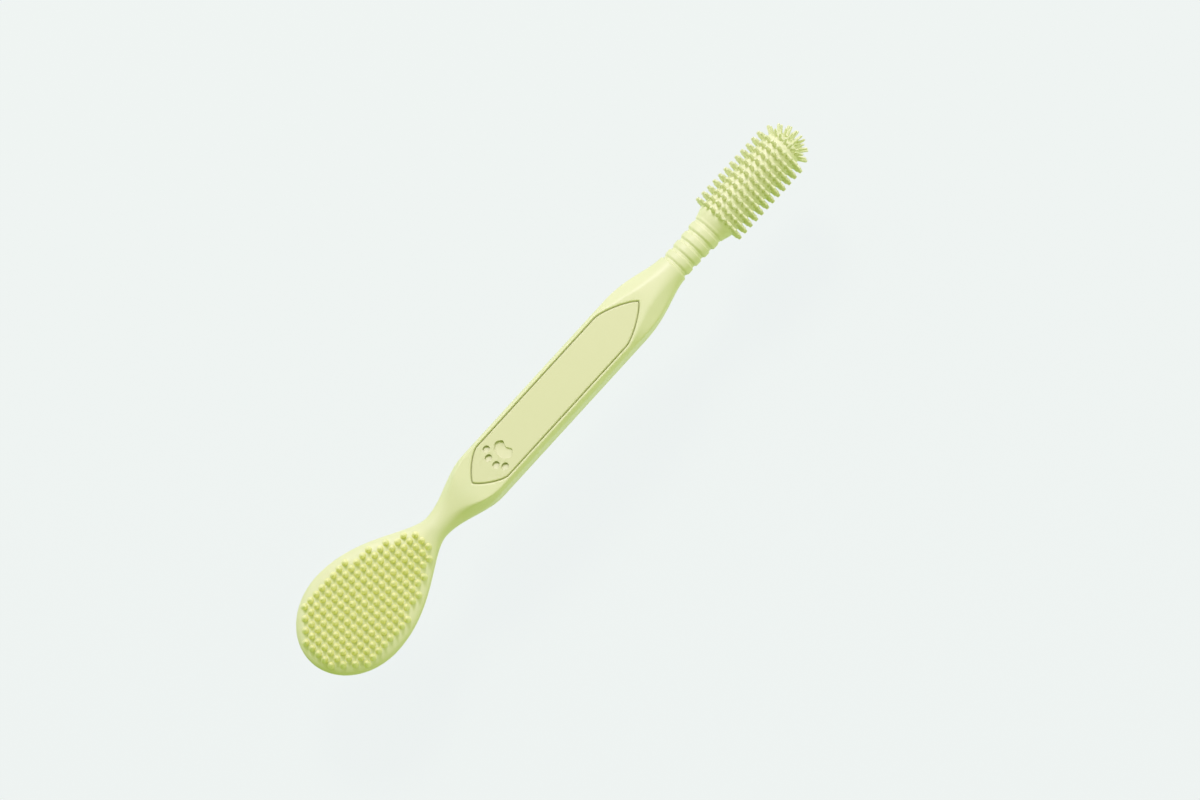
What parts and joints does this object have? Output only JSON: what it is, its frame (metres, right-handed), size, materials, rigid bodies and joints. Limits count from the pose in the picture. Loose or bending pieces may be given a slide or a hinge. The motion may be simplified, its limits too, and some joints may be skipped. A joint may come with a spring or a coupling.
{
  "type": "pet toothbrush",
  "caption": "Double-ended silicone pet toothbrush with a flat nubbed paddle, a rigid-cored grip with an inlaid panel, and a bristled finger on a flexible ribbed neck.",
  "frame": {"origin": "the middle of the whole length, on the long axis of the grip, the neck and the finger", "axes": "+X along the brush from the paddle to the bristled finger, +Z out of the front face with the inlay and the nubs"},
  "size_m": [0.19, 0.0294, 0.016],
  "materials": {
    "silicone": "soft-touch satin silicone, pale yellow-green",
    "inlay": "smooth matte silicone, a shade warmer than the grip",
    "core": "plain moulded plastic, hidden inside"
  },
  "bodies": {
    "handle": {"handle_body": "silicone", "front_inlay": "inlay", "grip_stiffener": "core", "paddle_nub_pad": "silicone"},
    "ring_1": {"neck_ring_1": "silicone"},
    "ring_2": {"neck_ring_2": "silicone"},
    "ring_3": {"neck_ring_3": "silicone"},
    "ring_4": {"neck_ring_4": "silicone"},
    "finger": {"finger_core": "core", "finger_sleeve": "silicone"}
  },
  "joints": [
    {"name": "neck_nod_1", "type": "hinge", "parent": "handle", "child": "ring_1", "pos_m": [0.04646, 0, 0], "axis": [0, 1, 0], "range_deg": [-8, 8], "stiffness_Nm_per_rad": 0.08},
    {"name": "neck_sway_1", "type": "hinge", "parent": "ring_1", "child": "ring_2", "pos_m": [0.04961, 0, 0], "axis": [0, 0, 1], "range_deg": [-8, 8], "stiffness_Nm_per_rad": 0.08},
    {"name": "neck_nod_2", "type": "hinge", "parent": "ring_2", "child": "ring_3", "pos_m": [0.05276, 0, 0], "axis": [0, 1, 0], "range_deg": [-8, 8], "stiffness_Nm_per_rad": 0.08},
    {"name": "neck_sway_2", "type": "hinge", "parent": "ring_3", "child": "ring_4", "pos_m": [0.05591, 0, 0], "axis": [0, 0, 1], "range_deg": [-8, 8], "stiffness_Nm_per_rad": 0.08},
    {"name": "neck_nod_3", "type": "hinge", "parent": "ring_4", "child": "finger", "pos_m": [0.05906, 0, 0], "axis": [0, 1, 0], "range_deg": [-8, 8], "stiffness_Nm_per_rad": 0.08}
  ]
}
